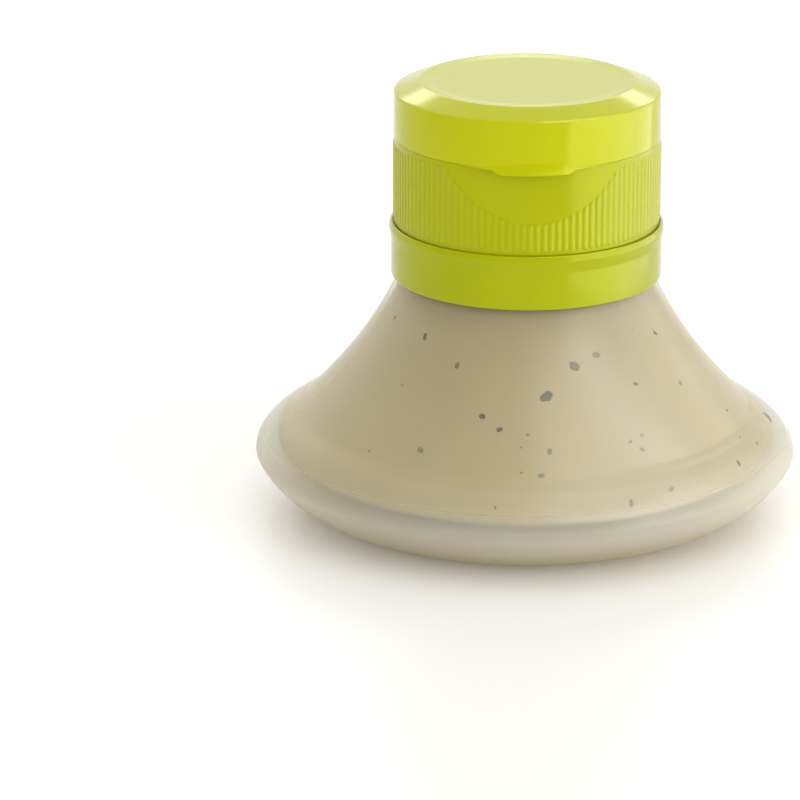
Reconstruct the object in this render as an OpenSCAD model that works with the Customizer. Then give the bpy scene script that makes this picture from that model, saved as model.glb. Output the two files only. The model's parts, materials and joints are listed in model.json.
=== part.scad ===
// Squat squeeze bottle for dressing, with a ribbed screw cap and a hinged flip lid.
// Millimetres, +Z up. The origin is the centre of the foot, on the surface that the bottle stands on.
// The thumb tab faces -Y and the lid's hinge is at +Y.

/* [Body] */
// Radius of the flat foot
base_r = 25; // [20:0.5:30]
// Radius of the widest ring of the belly
body_r = 40.8; // [38:0.1:44]
// Height of the widest ring of the belly
belly_z = 9; // [7:0.1:11]
// Radius of the body half way up the flare
flare_r = 33.8; // [30:0.1:35.5]
// Height of that point of the flare
flare_z = 15.9; // [14.5:0.1:19]
// Radius of the body at its shoulder, under the collar
shoulder_r = 19.1; // [18.9:0.1:20]
// Height of the shoulder, where the collar sits
shoulder_z = 36.6; // [32:0.1:42]
// Thickness of the clear rim of the belly
belly_wall = 3.5; // [2:0.1:5]
// Thickness of the wall up the flare
flare_wall = 1; // [0.8:0.1:2]
// Thickness of the floor
floor_t = 4; // [2:0.1:5]
// Depth of the hollow under the foot
foot_hollow = 0.6; // [0.2:0.1:1.5]
// Width of the ring that the bottle stands on
foot_ring_w = 4; // [2:0.5:8]

/* [Neck] */
// Radius of the pouring bore of the neck
neck_bore_r = 14.9; // [13:0.1:15.2]
// Radius of the neck at the roots of its thread
neck_r = 16.7; // [16.2:0.1:16.9]
// Height of the soft sleeve above the shoulder
sleeve_h = 6; // [4.5:0.1:8]
// Outer radius of the soft sleeve
sleeve_r = 18.2; // [17.8:0.1:18.4]
// Bore radius of the soft sleeve
sleeve_bore_r = 16.3; // [16:0.1:16.5]
// How far each barb bites into the soft sleeve
barb_bite = 0.3; // [0.1:0.05:0.5]
// Radius of the flange above the sleeve
flange_r = 17.9; // [17.4:0.1:18]
// Thickness of the flange
flange_t = 0.9; // [0.6:0.1:1.5]
// Thread pitch
thread_pitch = 4.2; // [3.8:0.1:4.6]
// Turns of engaged thread
thread_turns = 1.25; // [1:0.05:1.3]
// Height of the thread ridge above its root
thread_depth = 1.05; // [0.6:0.05:1.1]
// Axial width of a ridge at its root
thread_root_w = 1.5; // [1.2:0.05:1.6]
// Axial width of a ridge at its crest
thread_crest_w = 0.8; // [0.4:0.05:1]

/* [Collar] */
// Radius of the collar at its lower edge
collar_r = 20.25; // [20:0.05:21]
// How far the rounded rim stands out of the collar
rim_bulge = 0.3; // [0.1:0.05:0.6]
// Height of the rim above the cap's lower edge
rim_rise = 0.2; // [0:0.05:0.5]
// Thickness of the lip over the flange
lip_t = 0.8; // [0.5:0.1:1.5]

/* [Cap] */
// Radius over the ribs
cap_r = 20; // [19.8:0.05:20.4]
// Height of the cap from its lower edge to the lid
cap_h = 13.3; // [12.5:0.1:16]
// Number of grip ribs
rib_count = 120; // [60:4:140]
// Height of the ribs above the skirt
rib_depth = 0.3; // [0.15:0.05:0.45]
// Plain margin above and below the ribs
rib_margin = 0.7; // [0.3:0.1:1.5]
// Thickness of the skirt under the ribs
skirt_wall = 1.6; // [1.3:0.1:1.7]
// Thickness of the deck
deck_t = 1.5; // [1:0.1:2.5]
// Depth of the deck's floor below the lid's lower edge
deck_drop = 0.7; // [0:0.1:1.5]
// Height of the snap ring above the lid's lower edge
ring_h = 1.9; // [1:0.1:3]
// Thickness of the snap ring
ring_wall = 1.5; // [1:0.1:2.5]
// Radius of the pouring orifice
orifice_r = 2; // [1.9:0.1:3]
// Wall of the nozzle
nozzle_wall = 2.2; // [1.2:0.1:3]
// Height of the nozzle above the lid's lower edge
nozzle_h = 2.6; // [2:0.1:3.5]
// Thickness of the seal
seal_t = 0.9; // [0.5:0.1:1.5]
// Radius of the curved face of the thumb recess
recess_r = 22.6; // [21:0.1:25]
// Depth of the thumb recess at its top, from the ribs' crests
recess_depth = 0.9; // [0.6:0.05:1.1]
// Height of the thumb recess
recess_h = 8.4; // [6:0.1:10]

/* [Lid] */
// Outer radius of the lid
lid_r = 19.9; // [19.7:0.05:20.2]
// Height of the lid's straight side
lid_side_h = 7; // [6.5:0.1:9]
// Width of the sloped bevel
bevel_w = 3.8; // [2:0.1:6]
// Rise of the bevel
bevel_rise = 1.35; // [0.8:0.05:2]
// Thickness of the lid's side
lid_wall = 1.65; // [1.3:0.05:1.7]
// Thickness of the lid's top
lid_top_t = 1.6; // [1.2:0.1:2]
// How far the thumb tab stands out past the ribs
tab_out = 0.7; // [0.4:0.05:1.2]
// How far the thumb tab hangs below the lid
tab_drop = 0.95; // [0.6:0.05:2]
// How far up the lid the tab's flare begins
tab_rise = 0.95; // [0.5:0.05:2]
// Half width of the thumb tab
tab_half_w = 11.4; // [9:0.1:11.8]
// How deep the plug reaches into the orifice
plug_reach = 1.4; // [0.8:0.1:1.8]
// Wall of the seal skirt round the nozzle
plug_skirt_wall = 0.9; // [0.6:0.1:1.5]

/* [Hinge] */
// Radius of the hinge pin
pin_r = 0.8; // [0.6:0.05:0.9]
// Radius of the knuckles
knuckle_r = 1.6; // [1.5:0.05:1.8]
// Distance of the hinge axis behind the cap's ribs
hinge_back = 0.7; // [0.6:0.05:1]
// Length of the centre knuckle, on the lid
centre_knuckle = 6; // [4:0.5:8]
// Length of each ear, on the cap
ear_w = 3.8; // [2.5:0.1:5]

/* [Dressing] */
// Height of the dressing above the shoulder
fill_rise = 4.4; // [2:0.1:10]
// Number of specks of each kind
fleck_count = 22; // [6:1:30]
// Radius of the largest speck
fleck_r = 0.75; // [0.4:0.05:0.9]

/* [Clearances] */
// Gap between pieces that move past each other
clear = 0.3; // [0.25:0.05:0.4]
// Radial gap of the pin in the lid's knuckle
running = 0.05; // [0.02:0.01:0.1]
// Radial gap between pieces that are pushed together
fit_gap = 0.1; // [0.05:0.05:0.2]
// Gap between the specks and the shell
fleck_gap = 0.2; // [0.15:0.05:0.5]

/* [Hidden] */
$fn = 96;
eps = 0.02;
// How far a cutting shape runs on past what it cuts
past = 5;

lime = [0.74, 0.80, 0.08];
frosted = [0.86, 0.86, 0.82, 0.6];
dressing = [0.82, 0.77, 0.62];

sleeve_z = shoulder_z + sleeve_h;
flange_z = sleeve_z + flange_t;
lip_z = flange_z + lip_t;
cap_z = lip_z + clear;
lid_z = cap_z + cap_h;
deck_z = lid_z - deck_drop - deck_t;
neck_z = deck_z - seal_t;
fill_z = shoulder_z + fill_rise;

skirt_r = cap_r - rib_depth;
skirt_bore_r = skirt_r - skirt_wall;
lid_bore_r = lid_r - lid_wall;
ring_r = lid_bore_r - clear;
lid_h = lid_side_h + bevel_rise;
hinge_y = cap_r + hinge_back;
nozzle_r = orifice_r + nozzle_wall;
thread_lead = 1.2;
neck_thread_z = neck_z - thread_lead - thread_pitch * thread_turns;
cap_thread_z = neck_thread_z - thread_root_w - clear;

// Point on a cubic curve through p[0] and p[3]
function curve_at(p, t) =
    pow(1 - t, 3) * p[0] + 3 * pow(1 - t, 2) * t * p[1] + 3 * (1 - t) * t * t * p[2] + pow(t, 3) * p[3];
function curve(p, steps) = [for (i = [1:steps]) curve_at(p, i / steps)];

// Direction of the flare at its half way point, going up and inwards
flare_dir = [-0.72, 0.69];
// Direction of the body where it meets the shoulder
shoulder_dir = [-0.38, 0.925];
// How far each curve runs straight on from its ends: at the foot, below and above the widest
// ring, below the flare's half way point, and along the upper flare
foot_pull = 11;
belly_low_pull = 0.8;
belly_high_pull = 3.3;
flare_low_pull = 2.1;
flare_pull = (shoulder_z - flare_z) * 0.39;
// The same inside the shell, whose floor's edge and widest ring also stand a little in and up
floor_pull = [6.8, 3.7];
cavity_low_pull = 2.8;
cavity_high_pull = 3.3;
floor_inset = 1.6;
cavity_rise = 2;

// Profile from the foot's edge up to the shoulder, as [radius, height]
function outer_profile() = let(
        foot = [base_r, 0], belly = [body_r, belly_z], flare = [flare_r, flare_z],
        top = [shoulder_r, shoulder_z])
    concat([foot],
        curve([foot, foot + [foot_pull, 0], belly - [0, belly_low_pull], belly], 12),
        curve([belly, belly + [0, belly_high_pull], flare - flare_low_pull * flare_dir, flare], 10),
        curve([flare, flare + flare_pull * flare_dir, top - flare_pull * shoulder_dir, top], 12));

// Profile of the space inside, from the floor's edge up to the neck
function cavity_profile() = let(
        floor_edge = [base_r - floor_inset, floor_t],
        belly = [body_r - belly_wall, belly_z + cavity_rise],
        flare = [flare_r, flare_z] - flare_wall * [flare_dir[1], -flare_dir[0]],
        top = [shoulder_r - flare_wall - 0.3, shoulder_z - 1.1])
    concat([floor_edge],
        curve([floor_edge, floor_edge + floor_pull, belly - [0, cavity_low_pull], belly], 8),
        curve([belly, belly + [0, cavity_high_pull], flare - flare_low_pull * flare_dir, flare], 6),
        curve([flare, flare + flare_pull * flare_dir, top - flare_pull * shoulder_dir, top], 10));

// Frosted soft shell with a thick rim at the belly and a plain sleeve at the neck
module squeeze_body() {
    color(frosted) rotate_extrude() polygon(concat(
        [[0, foot_hollow], [base_r - foot_ring_w - 1, foot_hollow], [base_r - foot_ring_w, 0]],
        outer_profile(),
        [[sleeve_r, shoulder_z], [sleeve_r, sleeve_z], [sleeve_bore_r, sleeve_z],
            [sleeve_bore_r, shoulder_z + 0.4]],
        [for (i = [len(cavity_profile()) - 1:-1:0]) cavity_profile()[i]],
        [[0, floor_t]]));
}

// The dressing fills the shell and stands a little way up the neck
module sauce_fill() {
    color(dressing) rotate_extrude() polygon(concat(
        [[0, floor_t]],
        cavity_profile(),
        [[sleeve_bore_r, shoulder_z + 0.4 - fit_gap], [neck_bore_r - fit_gap, shoulder_z + 0.4 - fit_gap],
            [neck_bore_r - fit_gap, fill_z], [0, fill_z]]));
}

// Specks of one kind lie against the inside of the shell, spread by a fixed seed
module flecks(seed, biggest) {
    profile = cavity_profile();
    turns = rands(0, 360, fleck_count, seed);
    heights = rands(6, len(profile) - 3, fleck_count, seed + 1);
    sizes = rands(0.35, 1, fleck_count, seed + 2);
    for (i = [0:fleck_count - 1]) {
        low = floor(heights[i]);
        along = profile[low + 1] - profile[low];
        r = biggest * sizes[i];
        spot = profile[low] + (heights[i] - low) * along
            + (r + fleck_gap) / norm(along) * [-along[1], along[0]];
        rotate([0, 0, turns[i]]) translate([spot[0], 0, spot[1]]) sphere(r = r, $fn = 16);
    }
}
module pepper_flecks() { color([0.13, 0.11, 0.10]) flecks(11, fleck_r); }
module chilli_flecks() { color([0.50, 0.20, 0.12]) flecks(23, fleck_r * 0.8); }
module herb_flecks() { color([0.35, 0.36, 0.18]) flecks(37, fleck_r * 0.7); }

// Ridge wound on a cylinder, from root radius to crest radius, that fades out at both ends
module helix_ridge(root, crest, z, steps_per_turn = 32) {
    steps = round(thread_turns * steps_per_turn);
    fade = 4;
    rings = [for (i = [0:steps]) let(
            a = i * 360 / steps_per_turn,
            h = z + thread_pitch * i / steps_per_turn,
            f = min(1, (i + 0.5) / fade, (steps - i + 0.5) / fade),
            c = root + (crest - root) * f,
            rw = thread_root_w / 2, cw = thread_crest_w / 2)
        for (p = [[root, h - rw], [c, h - cw], [c, h + cw], [root, h + rw]])
            [p[0] * cos(a), p[0] * sin(a), p[1]]];
    sides = [for (i = [0:steps - 1], k = [0:3]) let(
            a = 4 * i + k, b = 4 * i + (k + 1) % 4, c = b + 4, d = a + 4)
        each (crest > root ? [[a, b, c], [a, c, d]] : [[a, c, b], [a, d, c]])];
    last = 4 * steps;
    ends = crest > root
        ? [[0, 2, 1], [0, 3, 2], [last, last + 1, last + 2], [last, last + 2, last + 3]]
        : [[0, 1, 2], [0, 2, 3], [last, last + 2, last + 1], [last, last + 3, last + 2]];
    polyhedron(points = rings, faces = concat(sides, ends));
}

// Rigid neck: barbed sleeve, flange and threaded spout
module neck_insert() {
    foot = shoulder_z + 0.4;
    barb_gap = (sleeve_h - 1.6) / 2;
    barbs = [for (i = [0:1]) let(z = foot + 0.8 + i * barb_gap)
        each [[sleeve_bore_r - 0.05, z], [sleeve_bore_r + barb_bite, z + 0.8], [sleeve_bore_r - 0.05, z + 0.8]]];
    color([0.93, 0.93, 0.90]) union() {
        rotate_extrude() polygon(concat(
            [[neck_bore_r, foot], [sleeve_bore_r - 0.05, foot]], barbs,
            [[sleeve_bore_r - 0.05, sleeve_z], [flange_r, sleeve_z], [flange_r, flange_z],
                [neck_r, flange_z], [neck_r, neck_z], [neck_bore_r, neck_z]]));
        helix_ridge(neck_r - 0.2, neck_r + thread_depth, neck_thread_z);
    }
}

// Plain ring that clamps the soft sleeve, with a rounded rim and a lip over the flange
module neck_collar() {
    bore = sleeve_r + fit_gap;
    rim_z = cap_z + rim_rise;
    rim_r = collar_r + rim_bulge;
    inner = skirt_r + clear;
    color(lime) rotate_extrude() polygon([
        [bore, shoulder_z], [collar_r - 0.15, shoulder_z], [collar_r, shoulder_z + 0.15],
        [collar_r + 0.05, rim_z - 1.3], [rim_r - 0.06, rim_z - 0.8], [rim_r, rim_z - 0.45],
        [rim_r - 0.1, rim_z - 0.15], [rim_r - 0.3, rim_z], [inner + 0.1, rim_z - 0.05],
        [inner, rim_z - 0.25], [inner, lip_z], [neck_r + clear, lip_z],
        [neck_r + clear, flange_z], [bore, flange_z]]);
}

// Soft washer between the deck and the neck
module cap_seal() {
    color([0.95, 0.95, 0.93]) translate([0, 0, neck_z]) difference() {
        cylinder(h = seal_t, r = skirt_bore_r - 0.5);
        translate([0, 0, -1]) cylinder(h = seal_t + 2, r = neck_bore_r - 0.6);
    }
}

// Grip ribs as one closed band
module rib_band() {
    step = 360 / rib_count;
    outline = [for (i = [0:rib_count - 1], p = [[0.05, 0], [0.3, 1], [0.7, 1], [0.95, 0]])
        let(a = (i + p[0]) * step, r = skirt_r + rib_depth * p[1]) [r * cos(a), r * sin(a)]];
    translate([0, 0, cap_z + rib_margin]) difference() {
        linear_extrude(cap_h - 2 * rib_margin) polygon(outline);
        translate([0, 0, -1]) cylinder(h = cap_h, r = skirt_r - 0.6);
    }
}

// Leaning cylinder whose front face is the back of the thumb recess
module recess_face(gap = 0) {
    lean = atan((recess_depth - rib_depth) / recess_h);
    translate([0, recess_r - skirt_r, lid_z - recess_h]) rotate([-lean, 0, 0])
        translate([0, 0, -past]) cylinder(h = recess_h + 2 * past, r = recess_r + gap, $fn = 128);
}

module hinge_rod(r, half, extra = 0) {
    translate([-half - extra, hinge_y, lid_z]) rotate([0, 90, 0])
        cylinder(h = 2 * (half + extra), r = r, $fn = 48);
}

hinge_half = centre_knuckle / 2 + clear + ear_w;

// Web from a knuckle to the wall, below the axis for side = -1 and above it for side = 1
module knuckle_web(x0, x1, side) {
    inner = skirt_bore_r + 0.5 - hinge_y;
    wall = skirt_r - 0.1 - hinge_y;
    translate([x0, hinge_y, lid_z]) rotate([90, 0, 90]) linear_extrude(x1 - x0)
        polygon([[inner, 0], [inner, side * 4], [wall, side * 4],
            [knuckle_r * cos(25), side * knuckle_r * sin(25)], [knuckle_r * 0.5, 0]]);
}

// Ribbed screw cap: skirt, deck, nozzle, snap ring, internal thread and hinge ears
module cap_base() {
    inner_half = centre_knuckle / 2 + clear;
    color(lime) difference() {
        union() {
            rotate_extrude() polygon([
                [skirt_bore_r, cap_z], [skirt_r - 0.15, cap_z], [skirt_r, cap_z + 0.15],
                [skirt_r, lid_z], [ring_r, lid_z],
                [ring_r, lid_z + ring_h - 0.3], [ring_r - 0.3, lid_z + ring_h],
                [ring_r - ring_wall, lid_z + ring_h], [ring_r - ring_wall, lid_z - deck_drop],
                [nozzle_r, lid_z - deck_drop], [nozzle_r, lid_z + nozzle_h - 0.5],
                [nozzle_r - 0.5, lid_z + nozzle_h], [orifice_r, lid_z + nozzle_h],
                [orifice_r, deck_z], [skirt_bore_r, deck_z]]);
            rib_band();
            helix_ridge(skirt_bore_r + 0.2, skirt_bore_r - thread_depth, cap_thread_z);
            for (side = [-1, 1]) {
                x0 = side > 0 ? inner_half : -hinge_half;
                translate([x0, hinge_y, lid_z]) rotate([0, 90, 0])
                    cylinder(h = ear_w, r = knuckle_r, $fn = 48);
                knuckle_web(x0, x0 + ear_w, -1);
            }
        }
        // Thumb recess
        difference() {
            translate([-recess_r, -cap_r - past, lid_z - recess_h - 1])
                cube([2 * recess_r, cap_r, recess_h + 2]);
            recess_face();
        }
        // Room for the lid's knuckle, and the pin's bore
        hinge_rod(knuckle_r + clear, inner_half);
        hinge_rod(pin_r, hinge_half, 1);
    }
}

// Steel pin through the ears and the lid's knuckle
module hinge_pin() {
    color([0.75, 0.75, 0.77]) hinge_rod(pin_r, hinge_half);
}

// Thumb tab: a flared lens that stands out of the lid's side and hangs over the recess
module thumb_tab() {
    // A circle through the tab's tip and both its ends on the cap's outline
    tip = cap_r + tab_out;
    chord = sqrt(cap_r * cap_r - tab_half_w * tab_half_w);
    back = (tip * tip - cap_r * cap_r) / (2 * (tip - chord));
    low_r = tip - back;
    high_r = lid_r - 0.02 - back;
    difference() {
        translate([0, -back, lid_z - tab_drop])
            cylinder(h = tab_drop + tab_rise, r1 = low_r, r2 = high_r, $fn = 128);
        recess_face(clear);
    }
}

// Flip lid: bevelled top, side, thumb tab, knuckle, plug and seal skirt
module flip_lid() {
    top_z = lid_z + lid_h;
    under_z = top_z - lid_top_t;
    disc_r = lid_r - bevel_w;
    plug_z = lid_z + nozzle_h - plug_reach;
    plug_r = orifice_r - clear - 0.05;
    skirt_in = nozzle_r + clear + 0.1;
    ear_gap = centre_knuckle / 2;
    color(lime) difference() {
        union() {
            rotate_extrude() polygon([
                [lid_bore_r, lid_z], [lid_r - 0.12, lid_z], [lid_r, lid_z + 0.12],
                [lid_r - 0.08, lid_z + lid_side_h - 0.35], [lid_r - 0.2, lid_z + lid_side_h - 0.1],
                [lid_r - 0.5, lid_z + lid_side_h + 0.08], [disc_r + 0.35, top_z - 0.08],
                [disc_r, top_z], [disc_r - 0.4, top_z], [disc_r - 2, top_z - 0.15], [0, top_z - 0.15],
                [0, under_z], [lid_bore_r - 1, under_z], [lid_bore_r, under_z - 1]]);
            thumb_tab();
            knuckle_web(-ear_gap, ear_gap, 1);
            hinge_rod(knuckle_r, ear_gap);
            rotate_extrude($fn = 48) polygon([
                [0, plug_z], [plug_r - 0.35, plug_z], [plug_r, plug_z + 0.6],
                [plug_r, under_z + eps], [0, under_z + eps]]);
            rotate_extrude($fn = 64) polygon([
                [skirt_in, lid_z + nozzle_h - 1], [skirt_in + plug_skirt_wall, lid_z + nozzle_h - 1],
                [skirt_in + plug_skirt_wall, under_z + eps], [skirt_in, under_z + eps]]);
        }
        // Room for the cap's ears, and the pin's running bore
        for (x0 = [-hinge_half - clear, ear_gap])
            translate([x0, hinge_y, lid_z]) rotate([0, 90, 0])
                cylinder(h = hinge_half - ear_gap + clear, r = knuckle_r + clear, $fn = 48);
        hinge_rod(pin_r + running, ear_gap, 1);
    }
}

squeeze_body();
sauce_fill();
pepper_flecks();
chilli_flecks();
herb_flecks();
neck_insert();
neck_collar();
cap_seal();
cap_base();
hinge_pin();
flip_lid();
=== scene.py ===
"""Looks of a squat squeeze bottle for dressing: frosted soft body, lime collar, screw cap and flip lid.

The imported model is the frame. Sizes below are millimetres and are turned to metres where a mesh is made.
"""

from __future__ import annotations

import json
import logging
import math
import random
from dataclasses import dataclass
from enum import Enum
from typing import Iterable, Sequence

import bmesh
import bpy
from mathutils import Matrix, Vector, noise

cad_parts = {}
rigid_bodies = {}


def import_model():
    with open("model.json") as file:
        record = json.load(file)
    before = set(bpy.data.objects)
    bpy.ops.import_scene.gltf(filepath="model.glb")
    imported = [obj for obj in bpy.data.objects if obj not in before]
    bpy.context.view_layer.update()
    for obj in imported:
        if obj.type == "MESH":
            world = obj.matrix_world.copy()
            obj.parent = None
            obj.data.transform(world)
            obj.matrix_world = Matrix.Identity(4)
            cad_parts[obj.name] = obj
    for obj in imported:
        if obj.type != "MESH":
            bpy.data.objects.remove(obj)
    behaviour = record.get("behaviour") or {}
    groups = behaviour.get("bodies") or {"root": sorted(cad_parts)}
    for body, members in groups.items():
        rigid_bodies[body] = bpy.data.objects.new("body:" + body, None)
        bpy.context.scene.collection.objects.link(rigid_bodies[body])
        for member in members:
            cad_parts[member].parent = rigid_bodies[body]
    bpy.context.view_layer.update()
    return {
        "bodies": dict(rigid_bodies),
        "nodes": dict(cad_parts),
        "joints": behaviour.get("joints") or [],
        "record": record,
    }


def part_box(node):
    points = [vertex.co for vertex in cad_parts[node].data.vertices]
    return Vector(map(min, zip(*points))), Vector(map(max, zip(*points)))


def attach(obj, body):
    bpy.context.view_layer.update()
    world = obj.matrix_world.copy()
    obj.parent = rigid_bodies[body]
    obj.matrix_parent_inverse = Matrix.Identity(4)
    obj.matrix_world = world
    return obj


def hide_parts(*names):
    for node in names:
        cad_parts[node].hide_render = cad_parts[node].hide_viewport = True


LOG = logging.getLogger("bottle")
MM = 0.001
FULL_TURN = 2 * math.pi
WHITE = "#FFFFFF"

Point = tuple[float, float]
Corner = tuple[float, float, float]
Tree = bpy.types.NodeTree
Socket = bpy.types.NodeSocket
Shape = bmesh.types.BMesh


def to_linear(hex_colour: str) -> tuple[float, float, float, float]:
    """Turn an sRGB hex colour into linear RGBA.

    Args:
        hex_colour: six hex digits, with or without a leading hash.

    Returns:
        Linear red, green, blue and an alpha of 1.
    """
    digits = hex_colour.lstrip("#")
    parts = [int(digits[i : i + 2], 16) / 255 for i in (0, 2, 4)]
    linear = [p / 12.92 if p <= 0.04045 else ((p + 0.055) / 1.055) ** 2.4 for p in parts]
    return (*linear, 1.0)


def add_node(
    tree: Tree, kind: str, settings: dict | None = None, inputs: dict | None = None
) -> bpy.types.Node:
    """Add one shader node with its settings and its inputs.

    Args:
        tree: the node tree that gets the node.
        kind: the node's type name.
        settings: attributes to set on the node.
        inputs: what goes in by input name or index, each a value or a socket to link.

    Returns:
        The new node.
    """
    node = tree.nodes.new(kind)
    for key, value in (settings or {}).items():
        setattr(node, key, value)
    for key, value in (inputs or {}).items():
        if isinstance(value, Socket):
            tree.links.new(value, node.inputs[key])
        else:
            node.inputs[key].default_value = value
    return node


def new_tree(name: str) -> tuple[bpy.types.Material, Tree, bpy.types.Node]:
    """Start an empty node material.

    Args:
        name: the material's name.

    Returns:
        The material, its node tree and its output node.
    """
    material = bpy.data.materials.new(name)
    material.use_nodes = True
    tree = material.node_tree
    tree.nodes.clear()
    return material, tree, add_node(tree, "ShaderNodeOutputMaterial")


def noise_at(tree: Tree, place: Socket, size_mm: float, detail: float = 2.0) -> Socket:
    """Return noise whose features are about size_mm across, at a place in metres."""
    inputs = {"Vector": place, "Scale": 1 / (size_mm * MM), "Detail": detail}
    return add_node(tree, "ShaderNodeTexNoise", None, inputs).outputs["Fac"]


def ranged(
    tree: Tree, value: Socket, low: float, high: float, start: Point = (0.0, 1.0), way: str = "LINEAR"
) -> Socket:
    """Return a value moved from the span start to the span from low to high, and held at its ends."""
    inputs = {"Value": value, "From Min": start[0], "From Max": start[1], "To Min": low, "To Max": high}
    return add_node(tree, "ShaderNodeMapRange", {"interpolation_type": way}, inputs).outputs["Result"]


def eased(tree: Tree, height: Socket, low: float, high: float, span_mm: Point) -> Socket:
    """Return a value that goes smoothly from low to high over a span of heights."""
    return ranged(tree, height, low, high, (span_mm[0] * MM, span_mm[1] * MM), "SMOOTHSTEP")


def tinted(tree: Tree, share: Socket, first: str, second: str) -> Socket:
    """Return the colour between two hex colours, at a share of the second."""
    inputs = {0: share, 6: to_linear(first), 7: to_linear(second)}
    return add_node(tree, "ShaderNodeMix", {"data_type": "RGBA"}, inputs).outputs[2]


def between(tree: Tree, share: Socket, first: Socket | float, second: Socket | float) -> Socket:
    """Return the value between two values, at a share of the second."""
    inputs = {0: share, 2: first, 3: second}
    return add_node(tree, "ShaderNodeMix", {"data_type": "FLOAT"}, inputs).outputs[0]


def arithmetic(tree: Tree, operation: str, *values: Socket | float) -> Socket:
    """Return the result of one arithmetic operation."""
    return add_node(tree, "ShaderNodeMath", {"operation": operation}, dict(enumerate(values))).outputs[0]


def principled(tree: Tree, inputs: dict) -> Socket:
    """Return the shader socket of a general surface."""
    return add_node(tree, "ShaderNodeBsdfPrincipled", None, inputs).outputs["BSDF"]


@dataclass(frozen=True)
class NodeFinish:
    """A finish made of shader nodes, patterned on its piece's own coordinates."""

    name: str

    def surface(self, tree: Tree, place: Socket) -> Socket:
        """Return the shader's socket, for a place on the piece in metres."""
        raise NotImplementedError

    def build(self) -> bpy.types.Material:
        """Return the finished material."""
        material, tree, output = new_tree(self.name)
        place = add_node(tree, "ShaderNodeTexCoord").outputs["Object"]
        tree.links.new(self.surface(tree, place), output.inputs["Surface"])
        return material


@dataclass(frozen=True)
class MouldedPlastic(NodeFinish):
    """Opaque injection-moulded polypropylene: one solid colour, a soft gloss and a faint ripple."""

    colour: str
    shade_colour: str
    roughness: float = 0.17
    glint: str = WHITE
    ripple_mm: float = 6.0
    grain_mm: float = 0.35
    grain_depth_mm: float = 0.003
    soft_glow: float = 0.06
    gloss_change: Point = (-0.03, 0.04)

    def surface(self, tree: Tree, place: Socket) -> Socket:
        """Return the shader's socket."""
        ripple = noise_at(tree, place, self.ripple_mm)
        low, high = (self.roughness + change for change in self.gloss_change)
        grain = noise_at(tree, place, self.grain_mm, 1.0)
        bump = add_node(
            tree, "ShaderNodeBump", None,
            {"Strength": 0.5, "Distance": self.grain_depth_mm * MM, "Height": grain},
        )
        return principled(tree, {
            "Base Color": tinted(tree, ripple, self.shade_colour, self.colour),
            "Roughness": ranged(tree, ripple, low, high),
            "Normal": bump.outputs["Normal"],
            "IOR": 1.49,
            "Specular Tint": to_linear(self.glint),
            "Subsurface Weight": self.soft_glow,
            "Subsurface Radius": (1.0, 0.9, 0.3),
            "Subsurface Scale": 1.2 * MM,
        })


@dataclass(frozen=True)
class FrostedShell(NodeFinish):
    """Moulded soft polyethylene: a satin skin over a milky wall, cloudier where the wall is thick."""

    colour: str
    foot_tint_and_shade: str
    skin_roughness: float = 0.3
    depth_roughness: float = 0.06
    roughness_change: float = 0.015
    foot_roughness: float = 0.4
    foot_span_mm: Point = (10.0, 14.0)
    foot_shade_span_mm: Point = (0.0, 9.0)
    clear_thick: float = 0.52
    clear_thin: float = 0.88
    wall_span_mm: Point = (7.0, 15.0)
    lamp_tint: str = "#F0E8D4"
    haze_mm: float = 14.0

    def surface(self, tree: Tree, place: Socket) -> Socket:
        """Return the shader's socket."""
        height = add_node(tree, "ShaderNodeSeparateXYZ", None, {"Vector": place}).outputs["Z"]
        haze = noise_at(tree, place, self.haze_mm, 3.0)
        skin = ranged(
            tree, haze, self.depth_roughness - self.roughness_change,
            self.depth_roughness + self.roughness_change,
        )
        # The solid foot blurs what shows through it. Its colour turns darker and warmer towards the floor:
        # partly the dressing's colour seen through the thick foot, partly painted shade of the underside and
        # the floor beneath
        foot = eased(tree, height, 1.0, 0.0, self.foot_span_mm)
        # Painted shade: the base colour darkens and warms from 9 mm down to the floor
        foot_tint_and_shade_share = eased(tree, height, 1.0, 0.0, self.foot_shade_span_mm)
        # The wall bends light far less than solid polyethylene, or it would magnify the dressing to its
        # edge. It thickens towards the belly's rim and the foot, and more of it is milky there.
        clear = eased(tree, height, self.clear_thick, self.clear_thin, self.wall_span_mm)
        shell = principled(tree, {
            "Base Color": tinted(tree, foot_tint_and_shade_share, self.colour, self.foot_tint_and_shade),
            "Roughness": between(tree, foot, skin, self.foot_roughness),
            "Transmission Weight": clear,
            "IOR": 1.02,
            "Coat Weight": 0.75,
            "Coat Roughness": self.skin_roughness,
            "Coat IOR": 1.5,
        })
        lamp_path = add_node(tree, "ShaderNodeBsdfTransparent", None, {"Color": to_linear(self.lamp_tint)})
        rays = add_node(tree, "ShaderNodeLightPath")
        both = add_node(
            tree, "ShaderNodeMixShader", None,
            {0: rays.outputs["Is Shadow Ray"], 1: shell, 2: lamp_path.outputs["BSDF"]},
        )
        return both.outputs["Shader"]


@dataclass(frozen=True)
class CreamyDressing(NodeFinish):
    """Thick emulsion of oil and yoghurt: soft, slightly uneven beige that light sinks into."""

    colour: str
    warm_colour: str
    cloud_mm: float = 9.0
    grain_mm: float = 0.9
    grain_share: float = 0.25

    def surface(self, tree: Tree, place: Socket) -> Socket:
        """Return the shader's socket."""
        cloud = noise_at(tree, place, self.cloud_mm)
        grain = noise_at(tree, place, self.grain_mm)
        amount = arithmetic(tree, "MULTIPLY_ADD", grain, self.grain_share, cloud)
        return principled(tree, {
            "Base Color": tinted(tree, amount, self.colour, self.warm_colour),
            "Roughness": 0.45,
            "IOR": 1.4,
            "Subsurface Weight": 0.25,
            "Subsurface Radius": (1.0, 0.8, 0.5),
            "Subsurface Scale": 2.0 * MM,
        })


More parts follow.
